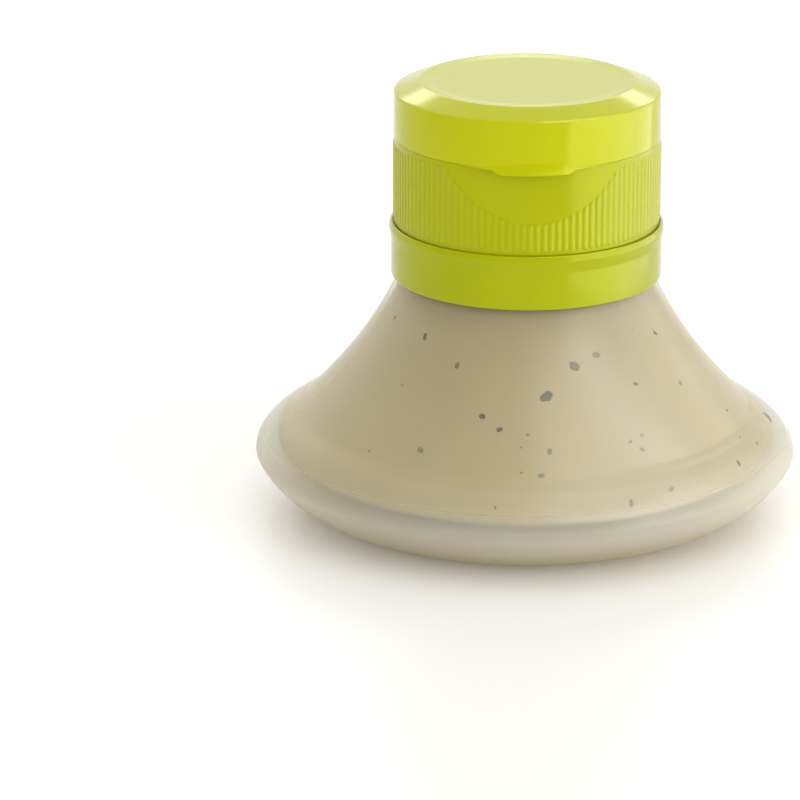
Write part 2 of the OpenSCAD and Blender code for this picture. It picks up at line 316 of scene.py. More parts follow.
@dataclass(frozen=True)
class DriedSpice(NodeFinish):
    """Ground spice: matt flakes whose colour changes a little from one to the next."""

    colour: str
    other_colour: str
    patch_mm: float = 1.5

    def surface(self, tree: Tree, place: Socket) -> Socket:
        """Return the shader's socket."""
        patch = noise_at(tree, place, self.patch_mm)
        colour = tinted(tree, patch, self.colour, self.other_colour)
        return principled(tree, {"Base Color": colour, "Roughness": 0.7})


@dataclass(frozen=True)
class DrawnSteel(NodeFinish):
    """Bright drawn stainless wire: fine scratches along its length."""

    colour: str
    scratch_mm: float = 0.12
    stretch: float = 0.03
    gloss: Point = (0.16, 0.34)

    def surface(self, tree: Tree, place: Socket) -> Socket:
        """Return the shader's socket."""
        inputs = {"Vector": place, "Scale": (self.stretch, 1.0, 1.0)}
        along = add_node(tree, "ShaderNodeMapping", None, inputs).outputs["Vector"]
        scratch = noise_at(tree, along, self.scratch_mm)
        return principled(tree, {
            "Base Color": to_linear(self.colour),
            "Metallic": 1.0,
            "Roughness": ranged(tree, scratch, *self.gloss),
        })


# The lime pigment lies so close to the skin that even head-on reflections look yellow-green
LIME_GLINT = "#FFFF98"


class Finish(Enum):
    """The finishes of the bottle's pieces."""

    LID = MouldedPlastic("lime moulded polypropylene, lid", "#B5BA00", "#B1B600", 0.15, LIME_GLINT)
    # The lid, cap and collar share one lime pigment; the cap's and the collar's darker limes are painted
    # shade
    CAP = MouldedPlastic("lime moulded polypropylene in painted shade, cap", "#A5AB00", "#A1A700", 0.2, LIME_GLINT)
    COLLAR = MouldedPlastic("lime moulded polypropylene in painted shade, collar", "#A2AA00", "#9EA600", 0.18, LIME_GLINT)
    NECK = MouldedPlastic("natural moulded polypropylene", "#ECEBE4", "#E4E3DA", soft_glow=0.3)
    SEAL = MouldedPlastic(
        "foamed polyethylene", "#F2F1EC", "#EAE9E2", 0.6, ripple_mm=3.0, grain_mm=0.25, grain_depth_mm=0.02
    )
    SHELL = FrostedShell("frosted soft polyethylene", "#DDDACB", "#C0B489")
    DRESSING = CreamyDressing("creamy dressing", "#C6BA90", "#BFAF82")
    PEPPER = DriedSpice("ground black pepper", "#3A2A14", "#5E4A2C")
    CHILLI = DriedSpice("dried chilli flakes", "#7A4632", "#8F5F42")
    HERB = DriedSpice("dried herbs", "#7E7450", "#958A64")
    STEEL = DrawnSteel("drawn stainless steel", "#C9C9CC")


def meshed(name: str, shape: Shape) -> bpy.types.Mesh:
    """Turn a shape into a mesh and free the shape."""
    mesh = bpy.data.meshes.new(name)
    shape.to_mesh(mesh)
    shape.free()
    return mesh


def placed(name: str, data: bpy.types.ID) -> bpy.types.Object:
    """Put a mesh, lamp or camera into the scene."""
    item = bpy.data.objects.new(name, data)
    bpy.context.scene.collection.objects.link(item)
    return item


def clamped(value: float) -> float:
    """Return a value held between 0 and 1."""
    return max(0.0, min(1.0, value))


class Workshop:
    """Makes each finish once and turns meshes into pieces that ride on the model's bodies."""

    def __init__(self) -> None:
        """Start with no finishes made."""
        self.made: dict[Finish, bpy.types.Material] = {}

    def material(self, finish: Finish) -> bpy.types.Material:
        """Return the material of a finish, made on first use."""
        if finish not in self.made:
            self.made[finish] = finish.value.build()
        return self.made[finish]

    def piece(
        self, name: str, shape: Shape, finish: Finish, body: str, slot: str,
        replaces: Sequence[str] = (), crease_deg: float = 32.0,
    ) -> bpy.types.Object:
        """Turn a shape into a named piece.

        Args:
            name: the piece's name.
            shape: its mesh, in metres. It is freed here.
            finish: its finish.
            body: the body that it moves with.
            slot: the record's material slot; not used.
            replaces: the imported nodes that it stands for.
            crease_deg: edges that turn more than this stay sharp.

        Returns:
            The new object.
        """
        mesh = meshed(name, shape)
        piece = placed(name, mesh)
        self.shade(piece, crease_deg)
        mesh.materials.append(self.material(finish))
        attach(piece, body)
        if replaces:
            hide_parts(*replaces)
        LOG.info("%s: %d faces on %s", name, len(mesh.polygons), body)
        return piece

    def shade(self, piece: bpy.types.Object, crease_deg: float) -> None:
        """Shade a piece smooth, apart from edges over crease_deg."""
        piece.data.shade_smooth()
        piece.data.set_sharp_from_angle(angle=math.radians(crease_deg))

    def dress_node(self, frame: dict, node: str, finish: Finish) -> None:
        """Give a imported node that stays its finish."""
        mesh = frame["nodes"][node].data
        mesh.materials.clear()
        mesh.materials.append(self.material(finish))
        LOG.info("%s: packed node, %s", node, self.made[finish].name)

    def cut(
        self, piece: bpy.types.Object, cutters: Iterable[Shape], finish: Finish, crease_deg: float
    ) -> None:
        """Cut shapes out of a piece and keep the result as its mesh.

        Args:
            piece: the piece that is cut.
            cutters: closed shapes to take away. They are freed here.
            finish: its finish.
            crease_deg: edges that turn more than this stay sharp.
        """
        tools = []
        for shape in cutters:
            tool = placed("cutter", meshed("cutter", shape))
            tools.append(tool)
            modifier = piece.modifiers.new("cut", "BOOLEAN")
            modifier.operation = "DIFFERENCE"
            modifier.solver = "MANIFOLD"
            modifier.object = tool
        bpy.context.view_layer.update()
        graph = bpy.context.evaluated_depsgraph_get()
        result = bpy.data.meshes.new_from_object(piece.evaluated_get(graph))
        piece.modifiers.clear()
        old, piece.data = piece.data, result
        name = old.name
        bpy.data.meshes.remove(old)
        result.name = name
        for tool in tools:
            mesh = tool.data
            bpy.data.objects.remove(tool)
            bpy.data.meshes.remove(mesh)
        result.materials.clear()
        result.materials.append(self.material(finish))
        self.shade(piece, crease_deg)


def curve(points: Sequence[Point], steps: int) -> list[Point]:
    """Points of a cubic curve, without its first.

    Args:
        points: its start, two handles and end.
        steps: how many points to return.

    Returns:
        The points as radius and height.
    """
    start, first, second, end = (Vector(p) for p in points)
    found = []
    for i in range(1, steps + 1):
        t = i / steps
        u = 1 - t
        spot = u**3 * start + 3 * u**2 * t * first + 3 * u * t * t * second + t**3 * end
        found.append((spot.x, spot.y))
    return found


def rounded(corners: Sequence[Corner], segments: int = 5) -> list[Point]:
    """Round the corners of a profile.

    Args:
        corners: radius, height and rounding radius of each corner.
        segments: points along each rounding.

    Returns:
        The profile's points.
    """
    found: list[Point] = []
    for i, (x, y, radius) in enumerate(corners):
        here = Vector((x, y))
        if radius <= 0 or i in (0, len(corners) - 1):
            found.append((x, y))
            continue
        before = Vector(corners[i - 1][:2]) - here
        after = Vector(corners[i + 1][:2]) - here
        turn = before.angle(after)
        reach = min(radius / math.tan(turn / 2), before.length * 0.49, after.length * 0.49)
        a = here + before.normalized() * reach
        b = here + after.normalized() * reach
        for k in range(segments + 1):
            t = k / segments
            spot = (1 - t) ** 2 * a + 2 * (1 - t) * t * here + t * t * b
            found.append((spot.x, spot.y))
    return found


def turned(profile: Sequence[Point], steps: int, closed: bool = False) -> Shape:
    """Spin a profile about the bottle's axis into a closed shape.

    Args:
        profile: radius and height of its points, in millimetres.
        steps: how many faces go round.
        closed: True if the profile is a ring of its own, off the axis.

    Returns:
        The shape, in metres.
    """
    shape = bmesh.new()
    verts = [shape.verts.new((r * MM, 0, z * MM)) for r, z in profile]
    edges = [shape.edges.new(pair) for pair in zip(verts, verts[1:])]
    if closed:
        edges.append(shape.edges.new((verts[-1], verts[0])))
    bmesh.ops.spin(
        shape, geom=verts + edges, cent=(0, 0, 0), axis=(0, 0, 1), angle=FULL_TURN,
        steps=steps, use_merge=True,
    )
    bmesh.ops.remove_doubles(shape, verts=shape.verts, dist=1e-7)
    bmesh.ops.recalc_face_normals(shape, faces=shape.faces)
    return shape


ROD_SIDES = 48


def rod(radius: float, x0: float, x1: float, y: float, z: float, edge: float = 0.0) -> Shape:
    """Round rod along X.

    Args:
        radius: its radius.
        x0: its left end.
        x1: its right end.
        y: its axis.
        z: its axis.
        edge: rounding of its two rims.

    Returns:
        The shape, in metres.
    """
    shape = bmesh.new()
    bmesh.ops.create_cone(
        shape, cap_ends=True, segments=ROD_SIDES, radius1=radius * MM, radius2=radius * MM,
        depth=(x1 - x0) * MM,
    )
    if edge > 0:
        rims = [e for e in shape.edges if abs(e.verts[0].co.z - e.verts[1].co.z) < 1e-9]
        bmesh.ops.bevel(
            shape, geom=rims, offset=edge * MM, segments=3, profile=0.5, affect="EDGES", material=-1
        )
    place = Matrix.Translation(((x0 + x1) / 2 * MM, y * MM, z * MM)) @ Matrix.Rotation(math.pi / 2, 4, "Y")
    bmesh.ops.transform(shape, matrix=place, verts=shape.verts)
    return shape


def prism(outline: Sequence[Point], x0: float, x1: float) -> Shape:
    """Flat outline in the YZ plane drawn out along X.

    Args:
        outline: its corners as Y and Z.
        x0: its left side.
        x1: its right side.

    Returns:
        The shape, in metres.
    """
    shape = bmesh.new()
    face = shape.faces.new([shape.verts.new((x0 * MM, y * MM, z * MM)) for y, z in outline])
    grown = bmesh.ops.extrude_face_region(shape, geom=[face])["geom"]
    moved = [g for g in grown if isinstance(g, bmesh.types.BMVert)]
    bmesh.ops.translate(shape, verts=moved, vec=((x1 - x0) * MM, 0, 0))
    bmesh.ops.recalc_face_normals(shape, faces=shape.faces)
    return shape


def joined(shapes: Iterable[Shape]) -> Shape:
    """Put several shapes into one mesh.

    Args:
        shapes: the shapes. They are freed here.

    Returns:
        One shape that holds them all.
    """
    whole = bmesh.new()
    for shape in shapes:
        part = meshed("part", shape)
        whole.from_mesh(part)
        bpy.data.meshes.remove(part)
    return whole


@dataclass(frozen=True)
class Levels:
    """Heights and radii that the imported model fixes, in millimetres."""

    body_r: float
    sleeve_z: float
    shoulder_z: float
    rim_r: float
    rim_z: float
    cap_z: float
    cap_r: float
    hinge_y: float
    lid_z: float
    top_z: float
    lid_r: float
    pin_half: float
    neck_z: float
    fill_z: float

    @classmethod
    def from_frame(cls) -> "Levels":
        """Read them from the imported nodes' boxes."""
        nodes = (
            "squeeze_body", "neck_collar", "cap_base", "flip_lid", "hinge_pin", "neck_insert", "sauce_fill",
        )
        body, collar, cap, lid, pin, neck, fill = ([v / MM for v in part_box(node)] for node in nodes)
        return cls(
            body_r=body[1].x, sleeve_z=body[1].z,
            shoulder_z=collar[0].z, rim_r=collar[1].x, rim_z=collar[1].z,
            cap_z=cap[0].z, cap_r=cap[1].x,
            hinge_y=(pin[0].y + pin[1].y) / 2, lid_z=(pin[0].z + pin[1].z) / 2, pin_half=pin[1].x,
            top_z=lid[1].z, lid_r=lid[1].x,
            neck_z=neck[1].z, fill_z=fill[1].z,
        )


@dataclass
class BottleProfile:
    """Outer and inner profile of the soft shell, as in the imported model."""

    levels: Levels
    base_r: float = 25.0
    belly_z: float = 9.0
    flare: Point = (33.8, 15.9)
    shoulder_r: float = 19.1
    belly_wall: float = 3.5
    cavity_belly_z: float = 11.0
    flare_wall: float = 0.6
    floor_t: float = 4.0
    floor_r: float = 23.4
    seam_z: float = 15.3
    seam_half: float = 0.5
    seam_bead: float = 0.1
    flare_dir: Point = (-0.72, 0.69)
    shoulder_dir: Point = (-0.38, 0.925)
    foot_pull: float = 11.0
    belly_low_pull: float = 0.8
    belly_high_pull: float = 3.3
    flare_pull: float = 2.1
    neck_pull_share: float = 0.39
    floor_pull: Point = (6.8, 3.7)
    cavity_low_pull: float = 2.8
    neck_inset: float = 0.3
    neck_sink: float = 1.1

    def along(self, start: Point, direction: Point, distance: float) -> Point:
        """Return the point that lies distance from start."""
        return (start[0] + direction[0] * distance, start[1] + direction[1] * distance)

    def swell(self, belly: Point, flare: Point, steps: int) -> list[Point]:
        """Points from the belly's rim to the foot of the flare."""
        over = (belly[0], belly[1] + self.belly_high_pull)
        return curve([belly, over, self.along(flare, self.flare_dir, -self.flare_pull), flare], steps)

    def sweep(self, flare: Point, top: Point, steps: int) -> list[Point]:
        """Points up the flare, which runs straight on from its ends for a while."""
        pull = (self.levels.shoulder_z - self.flare[1]) * self.neck_pull_share
        up, down = self.along(flare, self.flare_dir, pull), self.along(top, self.shoulder_dir, -pull)
        return curve([flare, up, down, top], steps)

    def outer(self) -> list[Point]:
        """Profile from the foot's edge to the shoulder."""
        foot = (self.base_r, 0.0)
        belly = (self.levels.body_r, self.belly_z)
        top = (self.shoulder_r, self.levels.shoulder_z)
        out, under = (self.base_r + self.foot_pull, 0.0), (belly[0], belly[1] - self.belly_low_pull)
        low = curve([foot, out, under, belly], 44)
        mid = self.swell(belly, self.flare, 60)
        high = self.sweep(self.flare, top, 34)
        # The mould's parting line runs round the foot of the flare as a fine bead
        return [
            (r + self.seam_bead * max(0.0, 1 - ((z - self.seam_z) / self.seam_half) ** 2), z)
            for r, z in [foot, *low, *mid, *high]
        ]

    def cavity(self) -> list[Point]:
        """Profile of the space inside, from the floor's edge to the neck."""
        floor_edge = (self.floor_r, self.floor_t)
        belly = (self.levels.body_r - self.belly_wall, self.cavity_belly_z)
        flare = self.along(self.flare, (-self.flare_dir[1], self.flare_dir[0]), self.flare_wall)
        neck_r = self.shoulder_r - self.flare_wall - self.neck_inset
        top = (neck_r, self.levels.shoulder_z - self.neck_sink)
        out = (floor_edge[0] + self.floor_pull[0], floor_edge[1] + self.floor_pull[1])
        low = curve([floor_edge, out, (belly[0], belly[1] - self.cavity_low_pull), belly], 30)
        return [floor_edge, *low, *self.swell(belly, flare, 20), *self.sweep(flare, top, 30)]


@dataclass
class SoftBody:
    """Frosted shell with its clear belly rim, and the dressing inside it."""

    levels: Levels
    profile: BottleProfile
    sleeve_r: float = 18.2
    sleeve_bore_r: float = 16.3
    neck_bore_r: float = 14.9
    foot_hollow: float = 0.6
    foot_ring_w: float = 4.0
    contact: float = 0.1
    steps: int = 256

    def shell(self) -> Shape:
        """Return the shell's mesh, closed at the axis."""
        z, p = self.levels, self.profile
        inner_foot = p.base_r - self.foot_ring_w
        foot = rounded([
            (0, self.foot_hollow, 0), (inner_foot - 1, self.foot_hollow, 0.5), (inner_foot, 0, 0.5),
            (inner_foot + 0.5, 0, 0),
        ])
        neck = rounded([
            (p.shoulder_r, z.shoulder_z, 0), (p.shoulder_r - 0.2, z.shoulder_z, 0),
            (self.sleeve_r, z.shoulder_z, 0.1), (self.sleeve_r, z.sleeve_z, 0.3),
            (self.sleeve_bore_r, z.sleeve_z, 0.3), (self.sleeve_bore_r, z.shoulder_z + 0.4, 0.2),
            (*p.cavity()[-1], 0),
        ], 3)
        inside = p.cavity()[::-1]
        return turned([*foot, *p.outer(), *neck[1:-1], *inside, (0, p.floor_t)], self.steps)

    def dressing(self) -> Shape:
        """Return the dressing's mesh, pressed a hair into the shell so that no air shows between."""
        z, p, c = self.levels, self.profile, self.contact
        wall = [(r + c, h) for r, h in p.cavity()]
        neck_r = self.neck_bore_r - 0.1
        top = [
            (self.sleeve_bore_r + c, z.shoulder_z + 0.3), (neck_r, z.shoulder_z + 0.3),
            (neck_r, z.fill_z), (neck_r - 0.8, z.fill_z - 0.35), (neck_r - 3, z.fill_z - 0.5),
            (0, z.fill_z - 0.5),
        ]
        return turned([(0, p.floor_t - c), (wall[0][0], p.floor_t - c), *wall[1:], *top], self.steps)

    def build(self, shop: Workshop) -> None:
        """Make both pieces."""
        shop.piece("frosted_shell", self.shell(), Finish.SHELL, "bottle", "frosted_body", ["squeeze_body"])
        shop.piece("dressing", self.dressing(), Finish.DRESSING, "bottle", "dressing", ["sauce_fill"])


@dataclass(frozen=True)
class SpeckKind:
    """One kind of speck: its piece, and each speck that the view shows.

    A shown speck is its turn in degrees to the right of the view's centre, its height and its radius.
    """

    name: str
    node: str
    slot: str
    finish: Finish
    seed: int
    scattered: int
    sizes: Point
    seen: Sequence[Corner]


SPECK_KINDS = (
    SpeckKind("pepper_specks", "pepper_flecks", "pepper", Finish.PEPPER, 11, 26, (0.14, 0.75), (
        (7.5, 24.8, 0.8), (-45.5, 30.6, 0.42), (-13.2, 22.2, 0.42), (-7.4, 20.8, 0.4), (64.9, 29.8, 0.36),
        (58.9, 12.9, 0.34), (24.6, 11.8, 0.42), (-45.5, 24.1, 0.16), (-43.6, 15.9, 0.16),
        (-6.3, 12.0, 0.22), (25.4, 24.9, 0.14), (74.6, 17.5, 0.28), (71.6, 21.6, 0.14),
    )),
    SpeckKind("chilli_specks", "chilli_flecks", "chilli", Finish.CHILLI, 23, 9, (0.14, 0.6), (
        (19.1, 28.3, 0.7), (41.1, 24.9, 0.38), (-26.4, 28.0, 0.4), (22.5, 28.7, 0.18), (9.6, 21.1, 0.15),
    )),
    SpeckKind("herb_specks", "herb_flecks", "herb", Finish.HERB, 37, 34, (0.14, 0.6), (
        (29.1, 29.4, 0.45), (61.6, 23.1, 0.4), (0.9, 20.3, 0.26), (6.9, 18.3, 0.42), (4.2, 15.6, 0.46),
        (30.6, 18.5, 0.3), (35.0, 18.9, 0.3), (33.2, 17.4, 0.34), (68.6, 14.7, 0.24), (71.7, 13.4, 0.28),
        (62.0, 11.5, 0.28), (35.3, 12.7, 0.4), (-28.8, 17.4, 0.46), (-71.5, 31.0, 0.34), (-0.9, 18.8, 0.18),
        (51.1, 31.5, 0.2), (-0.7, 15.9, 0.18), (6.4, 9.3, 0.36), (-1.4, 8.6, 0.36),
    )),
)


@dataclass
class Flecks:
    """Specks of one kind, against the inside of the shell all round the bottle."""

    kind: SpeckKind
    profile: BottleProfile
    view_turn_deg: float
    flatness: float = 0.4
    lift: float = 0.08
    hidden_deg: Point = (86.0, 274.0)
    fine_over: float = 0.3
    unevenness: float = 0.45
    bumps: float = 1.3
    longer: Point = (1.1, 1.6)
    shorter: Point = (0.7, 1.0)

    def spot(self, turn: float, height: float) -> tuple[Vector, Vector]:
        """Place on the dressing at a turn and height.

        Args:
            turn: radians from the front towards +X.
            height: height in millimetres.

        Returns:
            The place in metres and the outward direction.
        """
        wall = self.profile.cavity()
        pairs = zip(wall, wall[1:])
        low, high = next(pair for pair in pairs if pair[1][1] >= height or pair[1] is wall[-1])
        share = (height - low[1]) / (high[1] - low[1])
        along = Vector((high[0] - low[0], high[1] - low[1])).normalized()
        out = Vector((math.sin(turn), -math.cos(turn), 0))
        normal = (out * along.y - Vector((0, 0, along.x))).normalized()
        place = (out * (low[0] + (high[0] - low[0]) * share) + Vector((0, 0, height))) * MM
        return place + normal * self.lift * MM, normal

    def flake(
        self, whole: Shape, place: Vector, normal: Vector, radius: float, rng: random.Random
    ) -> None:
        """Add one uneven flake that lies flat on the shell.

        Args:
            whole: the mesh that gets the flake.
            place: its centre.
            normal: outward direction there.
            radius: its mean radius in millimetres.
            rng: the source of its shape.
        """
        fineness = 2 if radius > self.fine_over else 1
        made = bmesh.ops.create_icosphere(whole, subdivisions=fineness, radius=1.0)
        offset = Vector((rng.uniform(0, 50), rng.uniform(0, 50), rng.uniform(0, 50)))
        for vert in made["verts"]:
            vert.co *= 1 + self.unevenness * noise.noise(vert.co * self.bumps + offset)
        wide = radius * MM
        long, short = wide * rng.uniform(*self.longer), wide * rng.uniform(*self.shorter)
        shape = Matrix.Diagonal((long, short, wide * self.flatness, 1))
        turn = Matrix.Rotation(rng.uniform(0, FULL_TURN), 4, "Z")
        tilt = normal.to_track_quat("Z", "Y").to_matrix().to_4x4()
        bmesh.ops.transform(
            whole, matrix=Matrix.Translation(place) @ (tilt @ turn) @ shape, verts=made["verts"]
        )

    def build(self, shop: Workshop) -> None:
        """Make the flakes that the view shows, then scatter the rest by a fixed seed."""
        kind = self.kind
        rng = random.Random(kind.seed)
        whole = bmesh.new()
        for turn_deg, height, radius in kind.seen:
            place, normal = self.spot(math.radians(turn_deg + self.view_turn_deg), height)
            self.flake(whole, place, normal, radius, rng)
        wall = self.profile.cavity()
        rings = [math.dist(a, b) * (a[0] + b[0]) for a, b in zip(wall, wall[1:])]
        for _ in range(kind.scattered):
            ring = rng.choices(range(len(rings)), rings)[0]
            height = wall[ring][1] + (wall[ring + 1][1] - wall[ring][1]) * rng.random()
            turn = math.radians(rng.uniform(*self.hidden_deg) + self.view_turn_deg)
            place, normal = self.spot(turn, height)
            radius = kind.sizes[0] + (kind.sizes[1] - kind.sizes[0]) * rng.random() ** 2
            self.flake(whole, place, normal, radius, rng)
        shop.piece(kind.name, whole, kind.finish, "bottle", kind.slot, [kind.node], crease_deg=60)


@dataclass
class Collar:
    """Plain lime ring with a rounded, slightly proud rim."""

    levels: Levels
    bore_r: float = 18.3
    lip_bore_r: float = 17.0
    ledge_below_rim: float = 0.28
    lip_z_below_rim: float = 0.5
    lip_t: float = 0.8
    rim_bulge: float = 0.3
    steps: int = 256

    def build(self, shop: Workshop) -> None:
        """Make the ring."""
        z = self.levels
        side_r = z.rim_r - self.rim_bulge
        lip_z = z.rim_z - self.lip_z_below_rim
        mouth_r = z.cap_r
        ring = rounded([
            (self.bore_r, z.shoulder_z, 0), (side_r, z.shoulder_z, 0.2),
            (side_r, z.rim_z - 2.6, 2.0), (z.rim_r + 0.02, z.rim_z - 0.8, 0.7),
            (z.rim_r - 0.15, z.rim_z, 0.4), (mouth_r, z.rim_z, 0.3),
            (mouth_r, z.rim_z - self.ledge_below_rim, 0.1),
            (self.lip_bore_r, z.rim_z - self.ledge_below_rim, 0.1),
            (self.lip_bore_r, lip_z - self.lip_t, 0.1), (self.bore_r, lip_z - self.lip_t, 0.0),
        ], 6)
        ring = [(min(r, z.rim_r), h) for r, h in ring]
        shop.piece("neck_collar_ring", turned(ring, self.steps, True), Finish.COLLAR, "bottle",
                   "lime_collar", ["neck_collar"])


@dataclass
class Hinge:
    """Sizes that the cap's ears, the lid's knuckle and the pin share."""

    levels: Levels
    knuckle_r: float = 1.6
    centre_half: float = 3.0
    gap: float = 0.3
    edge: float = 0.15
    web_inset: float = 0.4
    web_h: float = 4.0
    web_gap: float = 0.02
    web_deg: float = 25.0

    def web(self, x0: float, x1: float, side: int, inner_r: float) -> Shape:
        """Web from a knuckle to the wall.

        Args:
            x0: its left side.
            x1: its right side.
            side: -1 below the axis, 1 above it.
            inner_r: radius that it reaches inside the wall.

        Returns:
            The shape.
        """
        y, z, k = self.levels.hinge_y, self.levels.lid_z, self.knuckle_r
        wall, near, far = self.levels.cap_r - self.web_inset, z + side * self.web_gap, z + side * self.web_h
        reach = math.radians(self.web_deg)
        return prism([
            (inner_r, near), (inner_r, far), (wall, far),
            (y + k * math.cos(reach), z + side * k * math.sin(reach)), (y + k * 0.5, near),
        ], x0, x1)

    def room(self, x0: float, x1: float) -> Shape:
        """Shape to cut for a knuckle of the other piece."""
        return rod(self.knuckle_r + self.gap, x0, x1, self.levels.hinge_y, self.levels.lid_z)


@dataclass
class ScrewCap:
    """Ribbed skirt with its thumb recess, deck with nozzle and snap ring, thread and hinge ears."""

    levels: Levels
    hinge: Hinge
    rib_count: int = 120
    rib_depth: float = 0.15
    rib_margin: float = 0.7
    rib_end: float = 0.35
    rib_roundness: float = 0.8
    columns_per_rib: int = 8
    row: float = 0.2
    bore_r: float = 18.1
    recess_r: float = 22.6
    recess_depth: float = 0.9
    recess_h: float = 8.4
    deck_t: float = 1.5
    deck_drop: float = 0.7
    ring_r: float = 17.95
    ring_wall: float = 1.5
    ring_h: float = 1.9
    orifice_r: float = 2.0
    nozzle_wall: float = 2.2
    nozzle_h: float = 2.6
    thread_pitch: float = 4.2
    thread_turns: float = 1.25
    thread_depth: float = 1.05
    thread_w: Point = (1.5, 0.8)
    thread_top: float = 1.2

    @property
    def root_r(self) -> float:
        """Radius at the roots of the ribs."""
        return self.levels.cap_r - self.rib_depth

    def recess_at(self, turn: float, z: float) -> float:
        """Radius of the thumb recess's face at a turn from the front and a height."""
        rise = (z - (self.levels.lid_z - self.recess_h)) / self.recess_h
        depth = self.rib_depth + (self.recess_depth - self.rib_depth) * rise
        centre = self.recess_r - self.levels.cap_r + depth
        across = self.recess_r**2 - (centre * math.sin(turn)) ** 2
        return -centre * math.cos(turn) + math.sqrt(across)

    def skin_r(self, turn: float, z: float) -> float:
        """Radius of the skirt's outside at a turn from the front and a height."""
        low, high = self.levels.cap_z + self.rib_margin, self.levels.lid_z - self.rib_margin
        end = clamped(min(z - low, high - z) / self.rib_end)
        wave = 0.5 - 0.5 * math.cos(turn * self.rib_count)
        ribbed = self.root_r + self.rib_depth * wave**self.rib_roundness * end
        if abs(turn) < math.pi / 2 and z > self.levels.lid_z - self.recess_h:
            face = self.recess_at(turn, z)
            if face < self.root_r:
                return face
        return ribbed

    def skirt(self) -> Shape:
        """Return the skirt, ribbed by moving the rows of a plain ring."""
        z0, z1 = self.levels.cap_z, self.levels.lid_z
        rows = round((z1 - z0 - 0.4) / self.row)
        outside = [(self.root_r, z0 + 0.2 + i * (z1 - z0 - 0.3) / rows) for i in range(rows + 1)]
        loop = [
            (self.bore_r, z0), (self.root_r - 0.2, z0), (self.root_r - 0.06, z0 + 0.06), *outside,
            (self.root_r - 0.03, z1 - 0.03), (self.root_r - 0.1, z1), (self.bore_r, z1),
        ]
        shape = turned(loop, self.rib_count * self.columns_per_rib, True)
        for vert in shape.verts:
            x, y, z = vert.co / MM
            r = math.hypot(x, y)
            if r < self.root_r - 0.5:
                continue
            turn = math.atan2(x, -y)
            scale = (self.skin_r(turn, z) - (self.root_r - r)) / r
            vert.co.x *= scale
            vert.co.y *= scale
        return shape

    def deck(self) -> Shape:
        """Return the deck with its nozzle and snap ring."""
        z = self.levels.lid_z
        low, floor = z - self.deck_drop - self.deck_t, z - self.deck_drop
        nozzle_r = self.orifice_r + self.nozzle_wall
        sunk_r = self.bore_r + 0.2
        loop = rounded([
            (self.orifice_r, low, 0), (sunk_r, low, 0), (sunk_r, z - 0.02, 0),
            (self.ring_r, z - 0.02, 0.1), (self.ring_r, z + self.ring_h - 0.75, 0.1),
            (self.ring_r + 0.08, z + self.ring_h - 0.5, 0.1),
            (self.ring_r - 0.1, z + self.ring_h - 0.2, 0.15), (self.ring_r - 0.4, z + self.ring_h, 0.2),
            (self.ring_r - self.ring_wall, z + self.ring_h, 0.2),
            (self.ring_r - self.ring_wall, floor, 0.3), (nozzle_r + 0.3, floor, 0.5),
            (nozzle_r, z + self.nozzle_h - 0.4, 0.4), (nozzle_r - 0.6, z + self.nozzle_h, 0.3),
            (self.orifice_r, z + self.nozzle_h, 0.2), (self.orifice_r, low, 0),
        ], 4)
        return turned(loop[:-1], 160, True)

    def thread(self) -> Shape:
        """Return the internal thread, a ridge wound up the bore that fades at both ends."""
        steps_per_turn, fade = 64, 8
        steps = round(self.thread_turns * steps_per_turn)
        neck_thread_z = self.levels.neck_z - self.thread_top - self.thread_pitch * self.thread_turns
        start = neck_thread_z - self.thread_w[0] - self.hinge.gap
        root = self.bore_r + 0.2
        shape = bmesh.new()
        section = [
            (root, start - self.thread_w[0] / 2), (root, start + self.thread_w[0] / 2),
            (self.bore_r - self.thread_depth, start + self.thread_w[1] / 2),
            (self.bore_r - self.thread_depth, start - self.thread_w[1] / 2),
        ]
        verts = [shape.verts.new((r * MM, 0, z * MM)) for r, z in section]
        edges = [shape.edges.new((verts[i], verts[(i + 1) % 4])) for i in range(4)]
        bmesh.ops.spin(
            shape, geom=verts + edges, cent=(0, 0, 0), axis=(0, 0, 1),
            angle=FULL_TURN * self.thread_turns, steps=steps,
            dvec=(0, 0, self.thread_pitch / steps_per_turn * MM),
        )
        shape.verts.ensure_lookup_table()
        for i, vert in enumerate(shape.verts):
            step = i // 4
            share = min(1.0, (step + 0.5) / fade, (steps - step + 0.5) / fade)
            r = math.hypot(vert.co.x, vert.co.y)
            wanted = root * MM + (r - root * MM) * share
            vert.co.x *= wanted / r
            vert.co.y *= wanted / r
        bmesh.ops.holes_fill(shape, edges=shape.edges, sides=4)
        bmesh.ops.recalc_face_normals(shape, faces=shape.faces)
        return shape

    def ears(self) -> Shape:
        """Return both ears with their webs, in one mesh."""
        h, z = self.hinge, self.levels
        inner = h.centre_half + h.gap
        shapes = []
        for low, high in ((-z.pin_half, -inner), (inner, z.pin_half)):
            shapes.append(rod(h.knuckle_r, low, high, z.hinge_y, z.lid_z, h.edge))
            shapes.append(h.web(low + 0.01, high - 0.01, -1, self.bore_r + 0.5))
        return joined(shapes)

    def build(self, shop: Workshop) -> None:
        """Make the skirt, deck, thread and ears."""
        h, z = self.hinge, self.levels
        inner = h.centre_half + h.gap
        common = (Finish.CAP, "cap", "lime_cap", ["cap_base"])
        skirt = shop.piece("cap_skirt", self.skirt(), *common)
        shop.cut(skirt, [h.room(-inner, inner)], Finish.CAP, 40)
        shop.piece("cap_deck", self.deck(), *common)
        shop.piece("cap_thread", self.thread(), *common)
        shop.piece("hinge_ears", self.ears(), *common)


